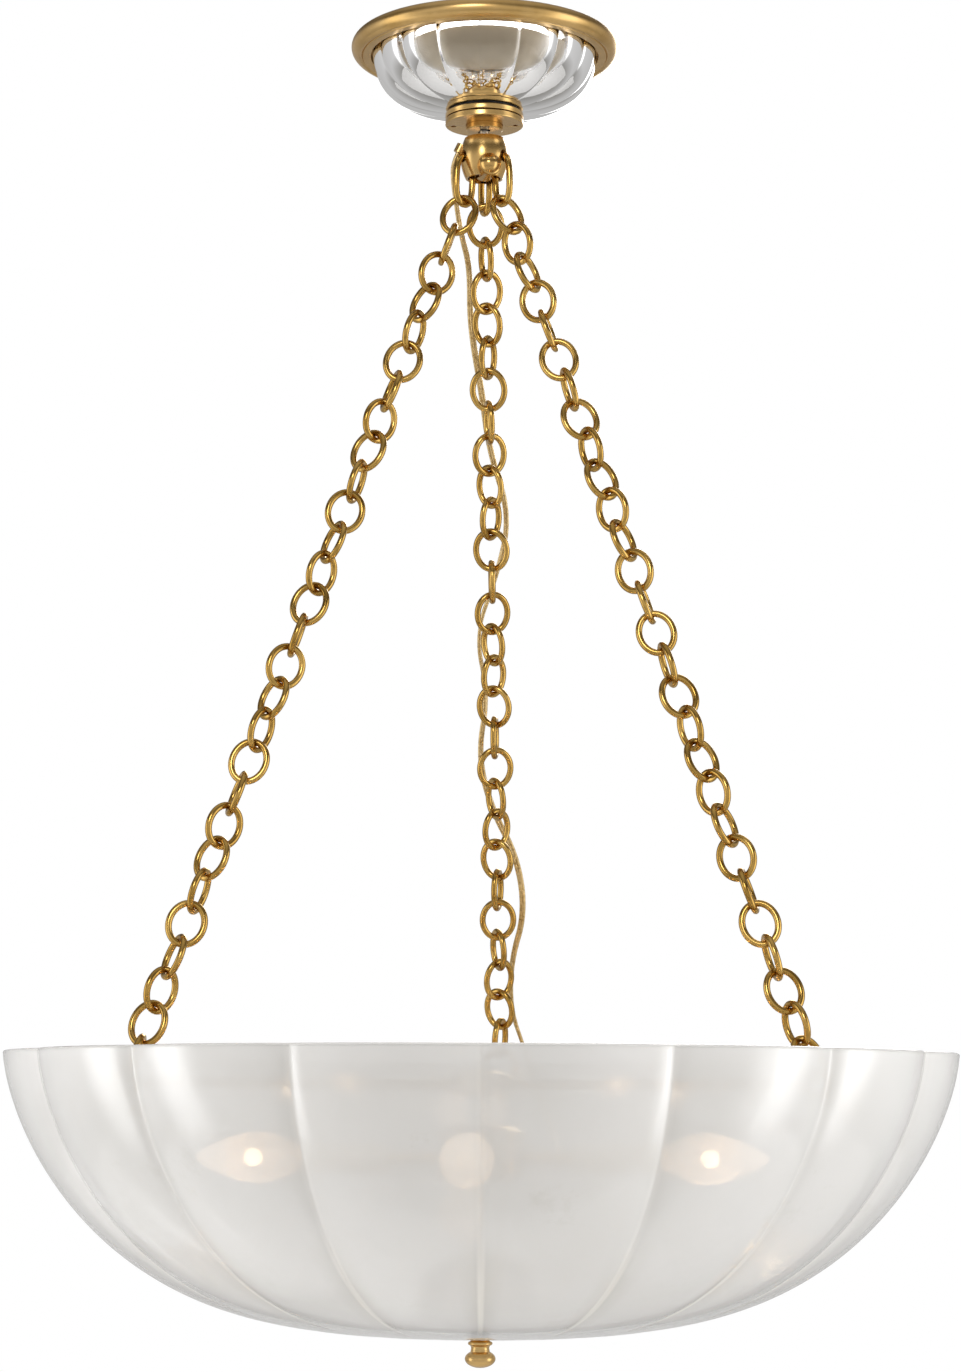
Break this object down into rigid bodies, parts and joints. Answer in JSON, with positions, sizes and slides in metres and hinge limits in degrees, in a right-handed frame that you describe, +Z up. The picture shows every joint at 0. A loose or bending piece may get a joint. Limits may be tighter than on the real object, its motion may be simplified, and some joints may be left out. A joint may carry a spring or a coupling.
{
  "type": "bowl chandelier",
  "caption": "Fluted white glass bowl light hung on three brass chains from a fluted glass and brass ceiling canopy.",
  "frame": {"origin": "centre of the ceiling face, midway between the two slots of the ceiling bar", "axes": "+Z up into the ceiling, -Y to the front, one chain at the back and two at the front sides"},
  "size_m": [0.6238, 0.6244, 0.8928],
  "materials": {
    "polished_brass": "polished",
    "antique_brass": "polished",
    "white_glass": "frosted",
    "clear_glass": "clear",
    "bulb_glass": "frosted",
    "champagne_metal": "satin",
    "zinc_steel": "satin",
    "rubber": "matte",
    "connector_plastic": "matte",
    "cord_plastic": "glossy",
    "pale_washer": "satin"
  },
  "bodies": {
    "canopy": {"canopy_ring": "polished_brass", "canopy_glass": "clear_glass", "canopy_cup": "champagne_metal", "ceiling_bar": "zinc_steel", "canopy_nipple": "zinc_steel", "nipple_nut": "zinc_steel", "cup_nut": "zinc_steel", "dish_gasket": "rubber", "collar_ring": "polished_brass", "collar_nut": "polished_brass"},
    "swivel": {"swivel_seat": "polished_brass"},
    "stud": {"swivel_stud": "zinc_steel"},
    "pendant": {"hub_bell": "polished_brass", "hub_pin": "polished_brass", "cord_gland": "polished_brass", "hub_links": "antique_brass", "spider_hub": "polished_brass", "centre_rod": "zinc_steel", "rod_nuts": "zinc_steel", "cluster_body": "polished_brass", "cluster_cap": "polished_brass", "cord_inlet": "rubber", "wire_connectors": "connector_plastic", "glass_bowl": "white_glass", "foot_pad": "rubber", "foot_washer": "zinc_steel", "finial_washer": "pale_washer", "finial": "polished_brass", "supply_cord": "cord_plastic", "chain_left": "antique_brass", "spider_arm_left": "antique_brass", "chain_right": "antique_brass", "spider_arm_right": "antique_brass", "chain_back": "antique_brass", "spider_arm_back": "antique_brass", "lamp_arm_front": "polished_brass", "lamp_socket_front": "champagne_metal", "lamp_arm_right": "polished_brass", "lamp_socket_right": "champagne_metal", "lamp_arm_back": "polished_brass", "lamp_socket_back": "champagne_metal", "lamp_arm_left": "polished_brass", "lamp_socket_left": "champagne_metal"},
    "bulb_front": {"bulb_base_front": "zinc_steel", "bulb_glass_front": "bulb_glass"},
    "bulb_right": {"bulb_base_right": "zinc_steel", "bulb_glass_right": "bulb_glass"},
    "bulb_back": {"bulb_base_back": "zinc_steel", "bulb_glass_back": "bulb_glass"},
    "bulb_left": {"bulb_base_left": "zinc_steel", "bulb_glass_left": "bulb_glass"}
  },
  "joints": [
    {"name": "swivel_turn", "type": "hinge", "parent": "canopy", "child": "swivel", "pos_m": [0, 0, -0.0597], "axis": [0, 0, 1], "range_deg": [-170, 170]},
    {"name": "stud_tilt", "type": "hinge", "parent": "swivel", "child": "stud", "pos_m": [0, 0, -0.0597], "axis": [0.9563, 0.2924, 0], "range_deg": [-10, 10]},
    {"name": "hub_tilt", "type": "hinge", "parent": "stud", "child": "pendant", "pos_m": [0, 0, -0.092], "axis": [0.2924, -0.9563, 0], "range_deg": [-10, 10]},
    {"name": "bulb_front_out", "type": "slide", "parent": "pendant", "child": "bulb_front", "axis": [0, -1, 0], "range_m": [0, 0.026]},
    {"name": "bulb_right_out", "type": "slide", "parent": "pendant", "child": "bulb_right", "axis": [1, 0, 0], "range_m": [0, 0.026]},
    {"name": "bulb_back_out", "type": "slide", "parent": "pendant", "child": "bulb_back", "axis": [0, 1, 0], "range_m": [0, 0.026]},
    {"name": "bulb_left_out", "type": "slide", "parent": "pendant", "child": "bulb_left", "axis": [-1, 0, 0], "range_m": [0, 0.026]}
  ]
}
